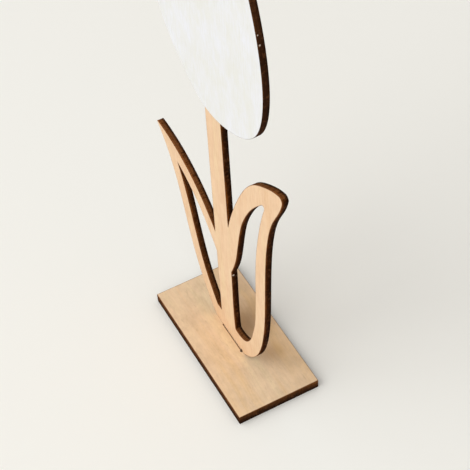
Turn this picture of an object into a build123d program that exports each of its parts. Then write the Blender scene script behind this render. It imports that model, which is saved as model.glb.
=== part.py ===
"""Standing wooden tulip: a fretted plywood stem with two open leaves, plugged by a tab into a slotted
base plate, with a painted flower head glued on the front of the stem.

Millimetres. The origin is the centre of the base plate's underside, +Z is up, the flower faces -Y and
+X is to the right of someone who looks at the flower.
"""
import os
from math import cos, radians, sin

from build123d import *

os.makedirs("parts", exist_ok=True)

# Plywood sheets that the pieces are cut from
BASE_SHEET = 5.0
PANEL_SHEET = 3.0
FLOWER_SHEET = 3.0

# Base plate
BASE_LENGTH = 80.0
BASE_WIDTH = 40.0

# Tab under the stem, and the play round it in the base's slot
TAB_LENGTH = 17.0
TAB_SHORT_OF_FLOOR = 0.5
SLOT_END_GAP = 0.5
SLOT_SIDE_GAP = 0.25

# Stem: a straight upright band, a little left of the slot's middle
STEM_WIDTH = 13.2
STEM_SHIFT = -3.1
STEM_HEIGHT = 205.0

# Leaves: reach sideways from the stem's middle line, rise above the base, where the flat foot ends
# (from the stem's middle line), where the top edge runs out on the far side of the stem, the even
# width of the wood round the left opening, the wood left between it and the base, and the rounding of
# the right opening at its tip and in its lower corner
LEFT_REACH = 58.6
LEFT_RISE = 88.2
LEFT_FOOT = 12.4
LEFT_ROOT = 47.0
LEFT_TIP_RADIUS = 0.5
RIGHT_REACH = 56.3
RIGHT_RISE = 146.4
RIGHT_FOOT = 13.6
RIGHT_ROOT = 41.0
RIGHT_TIP_RADIUS = 2.0
LEFT_BAND = 8.2
LEFT_FOOT_BAND = 10.3
RIGHT_OPENING_TIP_RADIUS = 0.9
RIGHT_OPENING_CORNER_RADIUS = 1.0

# Flower head: a rounded cup with three petal tips, leaning to the right
FLOWER_FOOT = 148.8
FLOWER_WIDTH = 89.0
FLOWER_HEIGHT = 114.0
FLOWER_LEAN = 6.0

# Leaf edges as shares of the leaf's reach and rise: the underside from foot to tip, and the top side
# from tip to stem
LEFT_UNDERSIDE_SHARES = [(0.322, 0.088), (0.480, 0.257), (0.616, 0.503), (0.731, 0.734)]
LEFT_TOPSIDE_SHARES = [(0.852, 0.997), (0.575, 0.955), (0.299, 0.854), (0.120, 0.744)]
RIGHT_UNDERSIDE_SHARES = [
    (0.433, 0.070), (0.599, 0.233), (0.670, 0.472), (0.726, 0.689), (0.845, 0.854), (0.941, 0.929)
]
RIGHT_TOPSIDE_SHARES = [
    (0.876, 0.985), (0.748, 0.956), (0.570, 0.902), (0.393, 0.807), (0.229, 0.675), (0.115, 0.549),
    (0.044, 0.432)
]

# The right opening's edge as shares of the right leaf's reach and rise, because its band of wood isn't
# even: from the stem's middle line up to the tip, and from the tip down and back to the middle line
RIGHT_OPENING_TIP_SHARE = (0.746, 0.887)
RIGHT_OPENING_TOPSIDE_SHARES = [
    (0.0, 0.238), (0.117, 0.347), (0.187, 0.410), (0.246, 0.492), (0.293, 0.574), (0.355, 0.656),
    (0.417, 0.710), (0.495, 0.765), (0.594, 0.820), RIGHT_OPENING_TIP_SHARE
]
RIGHT_OPENING_UNDERSIDE_SHARES = [
    RIGHT_OPENING_TIP_SHARE, (0.663, 0.792), (0.594, 0.683), (0.545, 0.574), (0.520, 0.464),
    (0.494, 0.328), (0.467, 0.246), (0.428, 0.191), (0.380, 0.137), (0.338, 0.109), (0.272, 0.082),
    (0.200, 0.071), (0.117, 0.070), (0.0, 0.070)
]

# Right half of the flower as shares of half its width and of its height: up the cup's side to the
# side petal's tip, down its inner edge to the notch, and up to the middle petal's tip
SIDE_PETAL_TIP_SHARE = (0.530, 0.965)
PETAL_NOTCH_SHARE = (0.255, 0.770)
CUP_SIDE_SHARES = [
    (0.327, 0.033), (0.628, 0.104), (0.889, 0.219), (1.0, 0.382), (0.957, 0.575), (0.747, 0.811),
    SIDE_PETAL_TIP_SHARE
]
SIDE_PETAL_SHARES = [SIDE_PETAL_TIP_SHARE, (0.350, 0.865), PETAL_NOTCH_SHARE]
MIDDLE_PETAL_SHARES = [PETAL_NOTCH_SHARE, (0.130, 0.900), (0.0, 1.0)]


def flower_points(side, shares):
    """Places of outline points of the flower from its foot; side is -1 for left and 1 for right."""
    return [(side * out * FLOWER_WIDTH / 2, up * FLOWER_HEIGHT) for out, up in shares]


def open_leaf(side, reach, rise, foot, root, tip_radius, underside, topside, opening=None):
    """Leaf outline with an opening in it; side is -1 for left and 1 for right.

    The outline runs along the base to the foot, up the underside to the tip, and back along the top
    side across the stem to its far edge. The opening is drawn by its own edges, or else leaves an even
    band of wood. The stem covers where the band or the opening is closed.
    """

    def place(share):
        return (STEM_SHIFT + side * reach * share[0], rise * share[1])

    tip = place((1, 1))
    foot_end = (STEM_SHIFT + side * foot, 0)
    far_edge = STEM_SHIFT - side * STEM_WIDTH / 2
    with BuildSketch() as leaf:
        with BuildLine():
            Spline(foot_end, *[place(share) for share in underside], tip)
            Spline(tip, *[place(share) for share in topside], (far_edge, root))
            Polyline((far_edge, root), (far_edge, 0), foot_end)
        make_face()
        if opening:
            opening_topside, opening_underside = opening
            with BuildLine():
                Spline(*[place(share) for share in opening_topside])
                Spline(*[place(share) for share in opening_underside])
                Line(place(opening_underside[-1]), place(opening_topside[0]))
            make_face(mode=Mode.SUBTRACT)
            opening_tip = leaf.vertices().sort_by_distance(place(opening_topside[-1]))[0]
            fillet(opening_tip, RIGHT_OPENING_TIP_RADIUS)
        else:
            even = offset(amount=-LEFT_BAND, kind=Kind.INTERSECTION, mode=Mode.PRIVATE)
            make_face(even.wire().to_splines().edges(), mode=Mode.SUBTRACT)
        fillet(leaf.vertices().sort_by_distance(tip)[0], tip_radius)
    return leaf.sketch


# Base plate, with the slot cut right through it
with BuildPart() as base_plate:
    with BuildSketch():
        Rectangle(BASE_LENGTH, BASE_WIDTH)
        Rectangle(
            TAB_LENGTH + 2 * SLOT_END_GAP,
            PANEL_SHEET + 2 * SLOT_SIDE_GAP,
            mode=Mode.SUBTRACT,
        )
    extrude(amount=BASE_SHEET)
base_plate.part.label = "base_plate"
export_step(base_plate.part, "parts/base_plate.step")

# Stem panel: stem, two open leaves and the tab, fretted from one sheet; it stands on its flat foot
left_leaf = open_leaf(
    -1, LEFT_REACH, LEFT_RISE, LEFT_FOOT, LEFT_ROOT, LEFT_TIP_RADIUS,
    LEFT_UNDERSIDE_SHARES, LEFT_TOPSIDE_SHARES,
)
right_leaf = open_leaf(
    1, RIGHT_REACH, RIGHT_RISE, RIGHT_FOOT, RIGHT_ROOT, RIGHT_TIP_RADIUS,
    RIGHT_UNDERSIDE_SHARES, RIGHT_TOPSIDE_SHARES,
    (RIGHT_OPENING_TOPSIDE_SHARES, RIGHT_OPENING_UNDERSIDE_SHARES),
)
panel_back = Plane(origin=(0, PANEL_SHEET / 2, BASE_SHEET), x_dir=(1, 0, 0), z_dir=(0, -1, 0))
with BuildPart() as stem_panel:
    with BuildSketch(panel_back) as fret:
        add(left_leaf)
        add(right_leaf)
        with Locations((STEM_SHIFT, 0)):
            Rectangle(STEM_WIDTH, STEM_HEIGHT, align=(Align.CENTER, Align.MIN))
            Rectangle(LEFT_FOOT, LEFT_FOOT_BAND, align=(Align.MAX, Align.MIN))
        lower_corner = (STEM_SHIFT + STEM_WIDTH / 2, RIGHT_RISE * RIGHT_OPENING_UNDERSIDE_SHARES[-1][1])
        fillet(fret.vertices().sort_by_distance(lower_corner)[0], RIGHT_OPENING_CORNER_RADIUS)
        Rectangle(TAB_LENGTH, BASE_SHEET - TAB_SHORT_OF_FLOOR, align=(Align.CENTER, Align.MAX))
    extrude(amount=PANEL_SHEET)
stem_panel.part.label = "stem_panel"
export_step(stem_panel.part, "parts/stem_panel.step")

# Flower head, glued flat on the front of the stem
lean = radians(FLOWER_LEAN)
flower_plane = Plane(
    origin=(STEM_SHIFT, -PANEL_SHEET / 2, BASE_SHEET + FLOWER_FOOT),
    x_dir=(cos(lean), 0, -sin(lean)),
    z_dir=(0, -1, 0),
)
with BuildPart() as flower_head:
    with BuildSketch(flower_plane):
        with BuildLine():
            Spline(
                *flower_points(-1, reversed(CUP_SIDE_SHARES)),
                (0, 0),
                *flower_points(1, CUP_SIDE_SHARES),
            )
            for side in (-1, 1):
                Spline(*flower_points(side, SIDE_PETAL_SHARES))
                Spline(*flower_points(side, MIDDLE_PETAL_SHARES))
        make_face()
    extrude(amount=FLOWER_SHEET)
flower_head.part.label = "flower_head"
export_step(flower_head.part, "parts/flower_head.step")
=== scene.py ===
from math import cos, pi, radians, sin

import bpy
import numpy as np
from mathutils import Matrix, Vector, geometry


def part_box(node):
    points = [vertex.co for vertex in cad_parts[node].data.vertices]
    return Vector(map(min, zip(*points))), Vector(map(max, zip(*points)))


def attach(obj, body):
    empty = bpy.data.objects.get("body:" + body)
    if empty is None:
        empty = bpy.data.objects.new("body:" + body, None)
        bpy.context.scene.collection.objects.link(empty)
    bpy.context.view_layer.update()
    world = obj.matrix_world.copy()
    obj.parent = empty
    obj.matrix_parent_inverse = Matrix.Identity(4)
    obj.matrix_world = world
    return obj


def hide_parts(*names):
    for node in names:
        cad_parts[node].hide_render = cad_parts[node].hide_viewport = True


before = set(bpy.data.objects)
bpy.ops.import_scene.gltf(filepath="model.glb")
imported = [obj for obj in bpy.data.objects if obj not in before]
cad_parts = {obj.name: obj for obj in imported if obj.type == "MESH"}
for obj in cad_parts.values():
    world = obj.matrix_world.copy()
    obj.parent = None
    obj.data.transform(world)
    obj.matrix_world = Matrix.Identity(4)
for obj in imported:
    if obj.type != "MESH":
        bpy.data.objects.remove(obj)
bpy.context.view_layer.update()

# Base plate: an oblong of 5 mm birch plywood that lies flat and carries the ornament. A laser cut its
# outline and the slot in its middle, so its edges are charred; the top is bare veneer, sanded smooth.

MM = 0.001               # the scene's unit is the metre
X, Y, Z = range(3)


def face_and_thickness(node, axis, side):
    """Where a sheet's face lies along its axis, and how thick the sheet is, from its box in the frame."""
    low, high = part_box(node)
    face = high[axis] if side > 0 else low[axis]
    return face, high[axis] - low[axis]


def cut_outlines(node, axis, side):
    """Closed outlines of a sheet's face, each an array of places with the wood on the left.

    The face is where the sheet reaches furthest along the axis, on the given side. An edge that only
    one triangle of the face uses lies on an outline. An outline is strung by following its edges: each
    pass repeats the strung part from where it ends, so the string doubles until its start comes back.
    """
    same_place_digits = 7
    face_within = 0.01 * MM
    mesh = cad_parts[node].data
    corners = np.empty(3 * len(mesh.vertices))
    mesh.vertices.foreach_get("co", corners)
    corners = np.round(corners.reshape(-1, 3), same_place_digits)
    triangles = np.empty(3 * len(mesh.polygons), int)
    mesh.polygons.foreach_get("vertices", triangles)
    places, merged = np.unique(corners, axis=0, return_inverse=True)
    triangles = merged.reshape(-1)[triangles].reshape(-1, 3)
    reach = side * places[:, axis]
    face = triangles[(reach[triangles] > reach.max() - face_within).all(axis=1)]
    edges = np.concatenate([face[:, [0, 1]], face[:, [1, 2]], face[:, [2, 0]]])
    # Each edge gets a number from its two ends; an edge inside the face is also there the other way round
    count = len(places)
    edges = edges[~np.isin(edges @ [count, 1], edges @ [1, count])]
    following = np.arange(count)
    following[edges[:, 0]] = edges[:, 1]
    waiting = edges[:, 0]
    outlines = []
    while len(waiting):
        string = waiting[:1]
        jump = following
        while string[0] not in string[1:]:
            string = np.concatenate([string, jump[string]])
            jump = jump[jump]
        string = string[:1 + np.flatnonzero(string[1:] == string[0])[0]]
        outlines.append(np.delete(places[string], axis, axis=1))
        waiting = np.setdiff1d(waiting, string)
    return outlines


def smooth_cut(outline, step):
    """An outline's facets rounded out to the smooth line that the laser followed.

    Each edge becomes a cubic through its two ends (Hermite form), divided at about the step. Its
    direction at an end is the mean of the two edges that meet there, with the shorter one counting
    more; at a corner it is the edge's own. Edges too short to have a direction are left out.
    """
    shortest_edge = 0.03 * MM
    corner_turn = radians(15)
    edge = np.roll(outline, -1, axis=0) - outline
    outline = outline[np.hypot(*edge.T) > shortest_edge]
    edge = np.roll(outline, -1, axis=0) - outline
    length = np.hypot(*edge.T)[:, None]
    ahead = edge / length
    behind = np.roll(ahead, 1, axis=0)
    even = behind * length + ahead * np.roll(length, 1, axis=0)
    even /= np.hypot(*even.T)[:, None]
    corner = ((ahead * behind).sum(axis=1) < cos(corner_turn))[:, None]
    leaving = np.where(corner, ahead, even)
    arriving = np.roll(np.where(corner, behind, even), -1, axis=0)
    parts = np.ceil(length[:, 0] / step).astype(int)
    which = np.repeat(np.arange(len(outline)), parts)
    start = np.cumsum(parts) - parts
    share = ((np.arange(len(which)) - start[which]) / parts[which])[:, None]
    return (
        (1 + 2 * share) * (1 - share) ** 2 * outline[which]
        + share * (1 - share) ** 2 * (length * leaving)[which]
        + share ** 2 * (3 - 2 * share) * np.roll(outline, -1, axis=0)[which]
        - share ** 2 * (1 - share) * (length * arriving)[which]
    )


def into_wood(line):
    """For each point of a cut line, the way into the wood that keeps an even distance from the line.

    It is the sum of the two edges' left normals over one plus their dot product, which is the mitre;
    at the sharpest notches the mitre is cut short.
    """
    least_spread = 0.32
    edge = np.roll(line, -1, axis=0) - line
    ahead = edge / np.hypot(*edge.T)[:, None]
    left = np.stack([-ahead[:, 1], ahead[:, 0]], axis=1)
    before = np.roll(left, 1, axis=0)
    spread = 1 + (left * before).sum(axis=1)
    return (left + before) / np.maximum(spread, least_spread)[:, None]


def cut_section(sheet, plies):
    """Section of a laser-cut edge: rows of inset from the cut line and depth below the face.

    From the face it goes over a flat margin, a quarter round at the arris, a wall that leans in evenly
    by the beam's taper with a small hollow (a bell curve) at each glue line, and a second quarter
    round and margin at the back.
    """
    margin = 0.45 * MM
    arris = 0.12 * MM
    arris_rows = 4
    taper = 0.06 * MM
    hollow = 0.03 * MM
    hollow_width = 0.1 * MM
    rows_per_ply = 8
    turn = np.linspace(0, pi / 2, arris_rows)
    depth = np.linspace(arris, sheet - arris, rows_per_ply * plies + 1)[1:-1]
    glue_lines = sheet * np.arange(1, plies) / plies
    bells = np.exp(-((depth[:, None] - glue_lines) / hollow_width) ** 2).sum(axis=1)
    inset = taper * depth / sheet + hollow * bells
    face = np.stack([arris * (1 - np.sin(turn)), arris * (1 - np.cos(turn))], axis=1)
    back = np.stack([taper + arris * (1 - np.cos(turn)), sheet - arris * (1 - np.sin(turn))], axis=1)
    wall = np.stack([inset, depth], axis=1)
    return np.concatenate([[[margin, 0]], face, wall, back, [[taper + margin, sheet]]])


def in_wood(points, line, after):
    """Which points lie in the wood: a ray from such a point to the right crosses the lines an odd number
    of times. An edge is crossed if it spans the point's height and passes on its right.
    """
    start = line - points[:, None]
    end = line[after] - points[:, None]
    spans = (start[..., 1] > 0) != (end[..., 1] > 0)
    left_turn = start[..., 0] * end[..., 1] > start[..., 1] * end[..., 0]
    crossed = spans & (left_turn == (end[..., 1] > start[..., 1]))
    return crossed.sum(axis=1) % 2 == 1


def field_of(line, after, pitch):
    """Points of a staggered grid that lie in the wood, well clear of the cut lines."""
    clear_of_cut = 0.6 * pitch
    low = line.min(axis=0)
    high = line.max(axis=0)
    across, up = np.meshgrid(*(np.arange(low[k], high[k], pitch) for k in (0, 1)))
    across[1::2] += pitch / 2
    points = np.stack([across.ravel(), up.ravel()], axis=1)
    clear = np.hypot(*(points[:, None] - line).transpose(2, 0, 1)).min(axis=1) > clear_of_cut
    return points[clear & in_wood(points, line, after)]


def cut_sheet(name, node, axis, side, plies, finishes):
    """A plywood sheet: the section of its cut edges carried round its outlines, with a face and a back.

    A point of the edge is its cut line's point plus its inset along the way into the wood, lowered by
    its depth. Face and back are triangles over the innermost rows and a field of points between them.
    The attribute scorch is 1 on the edge and fades to 0 over the margin, for the browned rim of a face.
    """
    cut_step = 1.2 * MM
    field_pitch = 4 * MM
    crease = radians(35)
    hull_triangles = 0
    same_point = 1e-5
    face_finish, edge_finish, back_finish = range(3)
    face_level, sheet = face_and_thickness(node, axis, side)
    lines = [smooth_cut(outline, cut_step) for outline in cut_outlines(node, axis, side)]
    line = np.concatenate(lines)
    inward = np.concatenate([into_wood(one) for one in lines])
    sizes = np.array([len(one) for one in lines])
    ends = np.cumsum(sizes)
    after = np.arange(1, len(line) + 1)
    after[ends - 1] = ends - sizes

    # Points of the edge come first, one section after another, then the fields of the face and the back
    section = cut_section(sheet, plies)
    rows = len(section)
    edge = line[:, None] + section[:, :1] * inward[:, None]
    field = field_of(line, after, field_pitch)
    flat = np.concatenate([edge.reshape(-1, 2), field, field])
    depth = np.concatenate([
        np.tile(section[:, 1], len(line)), np.zeros(len(field)), np.full(len(field), sheet)
    ])
    places = np.insert(flat, axis, face_level - side * depth, axis=1)

    first = rows * np.arange(len(line))[:, None] + np.arange(rows - 1)
    beside = rows * after[:, None] + np.arange(rows - 1)
    quads = np.stack([first, first + 1, beside + 1, beside], axis=-1).reshape(-1, 4)
    strip = np.tile(np.arange(rows - 1), len(line))
    strip_finish = np.select([strip == 0, strip == rows - 2], [face_finish, back_finish], edge_finish)

    ring = np.concatenate([edge[:, 0], field]) / MM
    bounds = np.stack([np.arange(len(line)), after], axis=1)
    _, _, triangles, *_ = geometry.delaunay_2d_cdt(
        ring.tolist(), bounds.tolist(), [], hull_triangles, same_point
    )
    triangles = np.array(triangles)
    triangles = triangles[in_wood(ring[triangles].mean(axis=1), ring[:len(line)], after)]
    on_line = triangles < len(line)
    in_field = triangles + len(line) * (rows - 1)
    face = np.where(on_line, triangles * rows, in_field)
    back = np.where(on_line, triangles * rows + rows - 1, in_field + len(field))

    mesh = bpy.data.meshes.new(name)
    mesh.from_pydata(places, [], quads.tolist() + face.tolist() + back[:, ::-1].tolist())
    scorch = mesh.attributes.new("scorch", "FLOAT", "POINT")
    on_edge = np.ones((len(line), rows))
    on_edge[:, [0, -1]] = 0
    scorch.data.foreach_set("value", np.append(on_edge, np.zeros(2 * len(field))))
    finish = np.concatenate([
        strip_finish, np.full(len(face), face_finish), np.full(len(back), back_finish)
    ])
    mesh.polygons.foreach_set("material_index", finish.astype(np.int32))
    mesh.polygons.foreach_set("use_smooth", np.ones(len(finish), bool))
    mesh.set_sharp_from_angle(angle=crease)
    for material in finishes:
        mesh.materials.append(material)
    piece = bpy.data.objects.new(name, mesh)
    bpy.context.scene.collection.objects.link(piece)
    return piece


def linear(code):
    """A linear colour from an sRGB hex code, by the sRGB curve."""
    part = np.array([int(code[k:k + 2], 16) for k in (1, 3, 5)]) / 255
    part = np.where(part <= 0.04045, part / 12.92, ((part + 0.055) / 1.055) ** 2.4)
    return (*part, 1.0)


def add(tree, kind, inputs=(), stops=(), **settings):
    """Adds a node: its settings, its inputs as values or as other nodes' outputs, and a ramp's stops.

    Inputs go by name or number. On a mix of colours 0 is the share and 6 and 7 are the two colours, and
    the mixed colour is output 2.
    """
    made = tree.nodes.new(kind)
    for name, value in settings.items():
        setattr(made, name, value)
    for socket, value in dict(inputs).items():
        if isinstance(value, bpy.types.NodeSocket):
            tree.links.new(value, made.inputs[socket])
        else:
            made.inputs[socket].default_value = value
    if stops:
        ramp = made.color_ramp.elements
        ramp.remove(ramp[1])
        for place, colour in stops:
            ramp.new(place).color = linear(colour)
        ramp.remove(ramp[0])
    return made


def new_finish(name):
    """A new material, with its node tree and its shader."""
    material = bpy.data.materials.new(name)
    material.use_nodes = True
    tree = material.node_tree
    return material, tree, tree.nodes["Principled BSDF"]


def wood_patterns(tree, place, axis, sizes):
    """Uneven patterns in a wooden surface, by name, drawn out along one axis.

    Each is given by its real size along that axis and across it, in millimetres, by its levels of
    detail, and by how strong the finer levels are.
    """
    patterns = {}
    for name, (along, across, detail, fineness) in sizes.items():
        size = [across * MM] * 3
        size[axis] = along * MM
        scaled = add(tree, "ShaderNodeMapping", {"Vector": place, "Scale": [1 / one for one in size]})
        patterns[name] = add(tree, "ShaderNodeTexNoise", {
            "Vector": scaled.outputs[0], "Scale": 1.0, "Detail": detail, "Roughness": fineness,
        }).outputs["Fac"]
    return patterns


def birch_veneer(name, grain, tones, shade_spots=()):
    """Bare birch: rotary-cut veneer, sanded, not oiled. Seen as a pale matt face with soft bands that
    sway along the grain, fine cloudy mottling, faint streaks, a few short flecks and a browned rim at
    the cut.

    The grain is the axis it runs along. The bands run through three tones; clouds, streaks and flecks
    each cover up to their own share with their tone. A shade spot is painted shade in another tone, full
    within its reach and fading over its rim. Streaks are drawn 0.7 mm wide, about twice the real width,
    because finer ones don't show.
    """
    sway_length = 30 * MM
    sway_reach = 4 * MM
    rim_tone = "#7d4217"
    material, tree, surface = new_finish(name)
    place = add(tree, "ShaderNodeTexCoord").outputs["Object"]
    sway = add(tree, "ShaderNodeTexNoise", {"Vector": place, "Scale": 1 / sway_length, "Detail": 1.0})
    swayed = add(tree, "ShaderNodeVectorMath", {
        0: sway.outputs["Color"], 1: [sway_reach] * 3, 2: place,
    }, operation="MULTIPLY_ADD").outputs[0]
    pattern = wood_patterns(tree, swayed, grain, {
        "bands": (90, 5, 2.0, 0.55),
        "clouds": (12, 7, 5.0, 0.72),
        "streaks": (16, 0.7, 2.0, 0.55),
        "flecks": (3, 0.6, 0.0, 0.55),
    })

    pale, pink, warm = tones["bands"]
    colour = add(tree, "ShaderNodeValToRGB", {"Fac": pattern["bands"]}, stops=[
        (0.32, pale), (0.50, pink), (0.68, warm),
    ]).outputs[0]
    for part, start, full in (("clouds", 0.42, 0.72), ("streaks", 0.45, 0.78), ("flecks", 0.74, 0.82)):
        tone, most = tones[part]
        share = add(tree, "ShaderNodeMapRange", {
            "Value": pattern[part], "From Min": start, "From Max": full, "To Max": most,
        })
        colour = add(tree, "ShaderNodeMix", {
            0: share.outputs[0], 6: colour, 7: linear(tone),
        }, data_type="RGBA").outputs[2]
    scorch = add(tree, "ShaderNodeAttribute", attribute_name="scorch")
    browned = add(tree, "ShaderNodeMath", {
        0: scorch.outputs["Fac"], 1: pattern["clouds"],
    }, operation="MULTIPLY")
    colour = add(tree, "ShaderNodeMix", {
        0: browned.outputs[0], 6: colour, 7: linear(rim_tone),
    }, data_type="RGBA").outputs[2]
    # Spots of painted shade, laid over the veneer's own colour
    for spot, reach, rim, tone, most in shade_spots:
        away = add(tree, "ShaderNodeVectorMath", {0: place, 1: spot}, operation="DISTANCE")
        share = add(tree, "ShaderNodeMapRange", {
            "Value": away.outputs["Value"], "From Min": reach, "From Max": reach + rim,
            "To Min": most, "To Max": 0.0,
        }, interpolation_type="SMOOTHSTEP")
        colour = add(tree, "ShaderNodeMix", {
            0: share.outputs[0], 6: colour, 7: linear(tone),
        }, data_type="RGBA").outputs[2]
    tree.links.new(colour, surface.inputs["Base Color"])

    rough = add(tree, "ShaderNodeMapRange", {
        "Value": pattern["streaks"], "From Min": 0.3, "From Max": 0.7, "To Min": 0.58, "To Max": 0.72,
    })
    tree.links.new(rough.outputs[0], surface.inputs["Roughness"])
    relief = add(tree, "ShaderNodeBump", {
        "Strength": 0.25, "Distance": 0.06 * MM, "Height": pattern["streaks"],
    }, invert=True)
    tree.links.new(relief.outputs[0], surface.inputs["Normal"])
    return material


def charred_edge(name, node, axis, side, plies, soot, pale_specks=()):
    """Plywood burnt through by a laser. Seen as a dull dark brown edge, paler in a thin rim at the face
    and darkest at the back, where the beam went slowest. Its crust is rough, with paler flakes, and fine
    black streaks run straight through the sheet.

    Depth below the face decides the colour, through the soot's tones. Glue lines are darker. Edges that
    look up are painted browner near the face, broken up by the streaks: painted light, for the light that
    falls on them from above. A pale speck is a small pale spot, strongest within six tenths of its reach
    and gone at its reach. Streaks are drawn 0.8 mm wide, about three times the real width, because finer
    ones don't show.
    """
    flake_tone = "#744a2c"
    lit_from_above_tone = "#a06538"
    streak_tone = "#140c08"
    glue_tone = "#0e0806"
    speck_tone = "#d6c4b2"
    face_level, sheet = face_and_thickness(node, axis, side)
    material, tree, surface = new_finish(name)
    coordinate = add(tree, "ShaderNodeTexCoord")
    place = coordinate.outputs["Object"]
    apart = add(tree, "ShaderNodeSeparateXYZ", {0: place})
    depth = add(tree, "ShaderNodeMapRange", {
        "Value": apart.outputs[axis], "From Min": face_level, "From Max": face_level - side * sheet,
    })
    pattern = wood_patterns(tree, place, axis, {
        "streaks": (6, 0.8, 2.0, 0.7),
        "patches": (6, 14, 2.0, 0.7),
        "crust": (1.5, 2, 4.0, 0.7),
    })

    uneven = add(tree, "ShaderNodeMapRange", {
        "Value": pattern["patches"], "From Min": 0.3, "From Max": 0.7, "To Min": -0.2, "To Max": 0.2,
    })
    burn = add(tree, "ShaderNodeMath", {0: depth.outputs[0], 1: uneven.outputs[0]}, operation="ADD")
    colour = add(tree, "ShaderNodeValToRGB", {"Fac": burn.outputs[0]}, stops=soot).outputs[0]
    flaked = add(tree, "ShaderNodeMapRange", {
        "Value": pattern["crust"], "From Min": 0.52, "From Max": 0.64, "To Max": 0.5,
    })
    # Painted light: edges that face up are painted browner near the face, for the light that falls on them
    # from above
    upward = add(tree, "ShaderNodeSeparateXYZ", {0: coordinate.outputs["Normal"]})
    lit_from_above = add(tree, "ShaderNodeMapRange", {
        "Value": upward.outputs[Z], "From Min": 0.15, "From Max": 0.8, "To Max": 0.7,
    })
    near_face = add(tree, "ShaderNodeMapRange", {
        "Value": depth.outputs[0], "From Min": 0.55, "From Max": 0.8, "To Min": 1.0, "To Max": 0.1,
    })
    bare = add(tree, "ShaderNodeMath", {0: lit_from_above.outputs[0], 1: near_face.outputs[0]}, operation="MULTIPLY")
    streak_breakup = add(tree, "ShaderNodeMapRange", {
        "Value": pattern["streaks"], "From Min": 0.38, "From Max": 0.62, "To Min": 0.05, "To Max": 0.95,
    })
    painted_top_light = add(tree, "ShaderNodeMath", {0: bare.outputs[0], 1: streak_breakup.outputs[0]}, operation="MULTIPLY")
    streaked = add(tree, "ShaderNodeMapRange", {
        "Value": pattern["streaks"], "From Min": 0.5, "From Max": 0.68, "To Max": 0.55,
    })
    ply = add(tree, "ShaderNodeMath", {0: depth.outputs[0], 1: float(plies)}, operation="MULTIPLY")
    from_glue = add(tree, "ShaderNodeMath", {0: ply.outputs[0], 1: 0.5}, operation="PINGPONG")
    glue = add(tree, "ShaderNodeMapRange", {
        "Value": from_glue.outputs[0], "From Min": 0.05, "From Max": 0.13, "To Min": 0.4, "To Max": 0.0,
    })
    layers = [(flaked, flake_tone), (painted_top_light, lit_from_above_tone), (streaked, streak_tone), (glue, glue_tone)]
    for share, tone in layers:
        colour = add(tree, "ShaderNodeMix", {
            0: share.outputs[0], 6: colour, 7: linear(tone),
        }, data_type="RGBA").outputs[2]
    for spot, reach in pale_specks:
        away = add(tree, "ShaderNodeVectorMath", {0: place, 1: spot}, operation="DISTANCE")
        share = add(tree, "ShaderNodeMapRange", {
            "Value": away.outputs["Value"], "From Min": 0.6 * reach, "From Max": reach,
            "To Min": 0.9, "To Max": 0.0,
        })
        colour = add(tree, "ShaderNodeMix", {
            0: share.outputs[0], 6: colour, 7: linear(speck_tone),
        }, data_type="RGBA").outputs[2]
    tree.links.new(colour, surface.inputs["Base Color"])
    surface.inputs["Roughness"].default_value = 0.9
    surface.inputs["Specular IOR Level"].default_value = 0.02
    relief = add(tree, "ShaderNodeBump", {
        "Strength": 0.4, "Distance": 0.12 * MM, "Height": pattern["streaks"],
    })
    tree.links.new(relief.outputs[0], surface.inputs["Normal"])
    return material


BASE_PLIES = 5
BASE_TONES = {
    "bands": ("#eed1a7", "#ebcaa4", "#eac697"),
    "clouds": ("#b89a78", 0.48),
    "streaks": ("#c69c6c", 0.18),
    "flecks": ("#8a6038", 0.15),
}
BASE_SOOT = [
    (0.01, "#7a4a22"), (0.15, "#5a351b"), (0.45, "#4f2e17"), (0.65, "#3a2213"), (0.98, "#2a180e"),
]

# Painted shade on the base's veneer: a dark spot at the right end of the slot, in front of the panel, for
# the shade in the gap there, and brown patches behind the slot for the shadow that the panel casts on it
GAP_SHADE_TONE = "#200600"
GAP_SHADE_RIM = 0.1 * MM
SLOT_END_SHADE = Vector((8.45, -1.7, 5.0)) * MM
SLOT_END_SHADE_REACH = 0.6 * MM
BEHIND_PANEL_SHADE_TONE = "#a6742c"
BEHIND_PANEL_SHADE_SHARE = 0.4
BEHIND_PANEL_SHADE_SPOTS = [(Vector((-5, 9, 5)) * MM, 20 * MM), (Vector((15.5, 11, 5)) * MM, 9 * MM)]

# The veneer's shade spots are painted shade, at the end of the slot and behind it
base_veneer = birch_veneer("bare birch veneer, base", X, BASE_TONES, [
    *[(middle, 0.0, reach, BEHIND_PANEL_SHADE_TONE, BEHIND_PANEL_SHADE_SHARE) for middle, reach in BEHIND_PANEL_SHADE_SPOTS],
    (SLOT_END_SHADE, SLOT_END_SHADE_REACH, GAP_SHADE_RIM, GAP_SHADE_TONE, 1.0),
])
base_char = charred_edge("laser-charred plywood, base", "base_plate", Z, 1, BASE_PLIES, BASE_SOOT)
base = cut_sheet("plywood_base", "base_plate", Z, 1, BASE_PLIES, [base_veneer, base_char, base_veneer])
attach(base, "base")
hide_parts("base_plate")

# Stem panel: stem, two open leaves and a tab, fretted by laser from one sheet of 3 mm birch plywood
# with its grain upright. Its flat foot stands on the base, and the tab goes down into the slot.

PANEL_PLIES = 3
PANEL_TONES = {
    "bands": ("#e8c9a0", "#e8c5a0", "#e6c198"),
    "clouds": ("#cb9c72", 0.40),
    "streaks": ("#c8955f", 0.28),
    "flecks": ("#a87848", 0.14),
}
PANEL_SOOT = [
    (0.01, "#8a4f20"), (0.18, "#542a0a"), (0.40, "#3a1a04"), (0.70, "#2c1405"), (0.98, "#160b06"),
]

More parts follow.
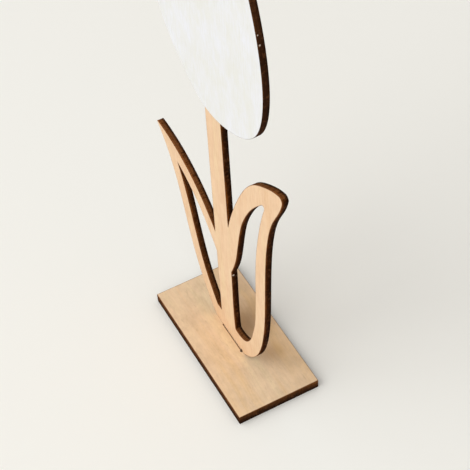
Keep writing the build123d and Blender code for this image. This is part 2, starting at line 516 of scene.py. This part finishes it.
# Painted shade: a dark spot low on the face where the tab meets the foot, the rest of the shade in the gap
# at the right end of the slot. A pale speck lies on the char at the kink of the right opening
TAB_CORNER_SHADE = Vector((8.5, -1.5, 5.3)) * MM
TAB_CORNER_SHADE_REACH = 0.75 * MM
KINK_SPECK = Vector((3.46, -0.65, 53.4)) * MM
KINK_SPECK_REACH = 0.65 * MM

panel_veneer = birch_veneer("bare birch veneer, stem", Z, PANEL_TONES, [
    (TAB_CORNER_SHADE, TAB_CORNER_SHADE_REACH, GAP_SHADE_RIM, GAP_SHADE_TONE, 1.0),
])
panel_char = charred_edge(
    "laser-charred plywood, stem", "stem_panel", Y, -1, PANEL_PLIES, PANEL_SOOT,
    [(KINK_SPECK, KINK_SPECK_REACH)],
)
panel = cut_sheet(
    "fretted_stem_panel", "stem_panel", Y, -1, PANEL_PLIES, [panel_veneer, panel_char, panel_veneer]
)
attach(panel, "upright")
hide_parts("stem_panel")

# Flower head: a tulip cup with three petal tips, laser-cut from 3 mm birch plywood and glued flat on
# the front of the stem. Its face is painted thinly in matt white, and its back is bare.


def white_wash(name):
    """Thin matt white emulsion on birch, brushed. Seen as almost white and softly mottled, with the grain
    faintly showing as short upright streaks. Streaks are drawn 0.9 mm wide, about twice the real width,
    because finer ones don't show.
    """
    warm_white = "#e0e0dc"
    cool_white = "#e4e5ea"
    grain_tone = "#d6d4c8"
    material, tree, surface = new_finish(name)
    place = add(tree, "ShaderNodeTexCoord").outputs["Object"]
    pattern = wood_patterns(tree, place, Z, {
        "streaks": (9, 0.9, 2.0, 0.6),
        "clouds": (16, 11, 5.0, 0.7),
    })
    coat = add(tree, "ShaderNodeValToRGB", {"Fac": pattern["clouds"]}, stops=[
        (0.36, warm_white), (0.64, cool_white),
    ])
    thin = add(tree, "ShaderNodeMapRange", {
        "Value": pattern["streaks"], "From Min": 0.42, "From Max": 0.75, "To Max": 0.38,
    })
    streaked = add(tree, "ShaderNodeMix", {
        0: thin.outputs[0], 6: coat.outputs[0], 7: linear(grain_tone),
    }, data_type="RGBA")
    tree.links.new(streaked.outputs[2], surface.inputs["Base Color"])
    surface.inputs["Roughness"].default_value = 0.62
    relief = add(tree, "ShaderNodeBump", {
        "Strength": 0.3, "Distance": 0.08 * MM, "Height": pattern["streaks"],
    }, invert=True)
    tree.links.new(relief.outputs[0], surface.inputs["Normal"])
    return material


FLOWER_PLIES = 3
FLOWER_SOOT = [
    (0.01, "#5e3a20"), (0.10, "#3c2212"), (0.60, "#371e10"), (0.85, "#2e190d"), (0.98, "#1c110b"),
]

# Two pale specks lie on the char of the flower's right side
FLOWER_SPECKS = [
    (Vector((43.55, -3.75, 229.0)) * MM, 0.35 * MM),
    (Vector((44.43, -3.55, 224.9)) * MM, 0.45 * MM),
]

flower_paint = white_wash("thin matt white emulsion on birch")
flower_char = charred_edge(
    "laser-charred plywood, flower", "flower_head", Y, -1, FLOWER_PLIES, FLOWER_SOOT, FLOWER_SPECKS
)
flower = cut_sheet(
    "painted_flower_head", "flower_head", Y, -1, FLOWER_PLIES, [flower_paint, flower_char, panel_veneer]
)
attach(flower, "upright")
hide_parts("flower_head")

# Table top: a plain sheet of matt off-white paper that the ornament stands on. It isn't part of the
# object, and is wide enough to fill every view.

FLOOR_HALF = 12.0
FLOOR_TONE = "#f6f4ed"
floor_mesh = bpy.data.meshes.new("table_top")
floor_mesh.from_pydata(
    [(-FLOOR_HALF, -FLOOR_HALF, 0), (FLOOR_HALF, -FLOOR_HALF, 0),
     (FLOOR_HALF, FLOOR_HALF, 0), (-FLOOR_HALF, FLOOR_HALF, 0)],
    [], [(0, 1, 2, 3)],
)
floor_paper, _, floor_surface = new_finish("matt off-white paper")
floor_surface.inputs["Base Color"].default_value = linear(FLOOR_TONE)
floor_surface.inputs["Roughness"].default_value = 0.9
floor_surface.inputs["Specular IOR Level"].default_value = 0.0
floor_mesh.materials.append(floor_paper)
floor = bpy.data.objects.new("table_top", floor_mesh)
bpy.context.scene.collection.objects.link(floor)

# Studio light: a white room that is brightest in front of the flower and overhead, and one wide soft
# lamp high in front, so that soft shadows fall behind the ornament.

ROOM_IN_FRONT = 1.2
ROOM_OVERHEAD = 0.80
world = bpy.data.worlds.new("white room")
bpy.context.scene.world = world
world.use_nodes = True
room = world.node_tree.nodes["Background"]
way = add(world.node_tree, "ShaderNodeTexCoord")
apart = add(world.node_tree, "ShaderNodeSeparateXYZ", {0: way.outputs["Generated"]})
in_front = add(world.node_tree, "ShaderNodeMath", {
    0: apart.outputs["Y"], 1: -1.0,
}, operation="MULTIPLY", use_clamp=True)
overhead = add(world.node_tree, "ShaderNodeMath", {
    0: apart.outputs["Z"], 1: ROOM_OVERHEAD,
}, operation="MULTIPLY", use_clamp=True)
bright = add(world.node_tree, "ShaderNodeMath", {
    0: in_front.outputs[0], 1: ROOM_IN_FRONT, 2: overhead.outputs[0],
}, operation="MULTIPLY_ADD")
world.node_tree.links.new(bright.outputs[0], room.inputs["Strength"])
room.inputs["Color"].default_value = linear("#ffffff")

LAMP_AIM = Vector((0, 0, 0.08))
LAMP_AWAY = 1.6
LAMP_SIZE = 0.9
LAMP_HEIGHT = radians(55)
LAMP_SHARE = 0.235       # what the lamp adds to a white surface that faces it, where full white is 1
towards_lamp = Vector((0, -cos(LAMP_HEIGHT), sin(LAMP_HEIGHT)))
softbox = bpy.data.lights.new("softbox", "AREA")
softbox.size = LAMP_SIZE
softbox.energy = LAMP_SHARE * pi ** 2 * LAMP_AWAY ** 2
lamp = bpy.data.objects.new("softbox", softbox)
lamp.location = LAMP_AIM + LAMP_AWAY * towards_lamp
lamp.rotation_euler = towards_lamp.to_track_quat("Z", "Y").to_euler()
bpy.context.scene.collection.objects.link(lamp)

# Camera: a long lens to the right of the flower and well above it, turned a little on its own axis, as
# the photograph was taken.

AZIMUTH = radians(64.542)
ELEVATION = radians(49.738)
ROLL = radians(-4.014)
CAMERA_PLACE = (0.43409, -0.20350, 0.64223)
IMAGE_SIDE = 470         # pixels
FOCAL_LENGTH = 1751      # pixels
lens = bpy.data.cameras.new("camera")
lens.sensor_width = 36
lens.lens = lens.sensor_width * FOCAL_LENGTH / IMAGE_SIDE
camera = bpy.data.objects.new("camera", lens)
behind = Vector((sin(AZIMUTH) * cos(ELEVATION), -cos(AZIMUTH) * cos(ELEVATION), sin(ELEVATION)))
right = (-behind).cross(Vector((0, 0, 1))).normalized()
up = right.cross(-behind)
tilted_right = cos(ROLL) * right + sin(ROLL) * up
tilted_up = cos(ROLL) * up - sin(ROLL) * right
turned = Matrix((tilted_right, tilted_up, behind)).transposed().to_4x4()
camera.matrix_world = Matrix.Translation(CAMERA_PLACE) @ turned
bpy.context.scene.collection.objects.link(camera)
bpy.context.scene.camera = camera

bpy.context.scene.view_settings.view_transform = "Standard"
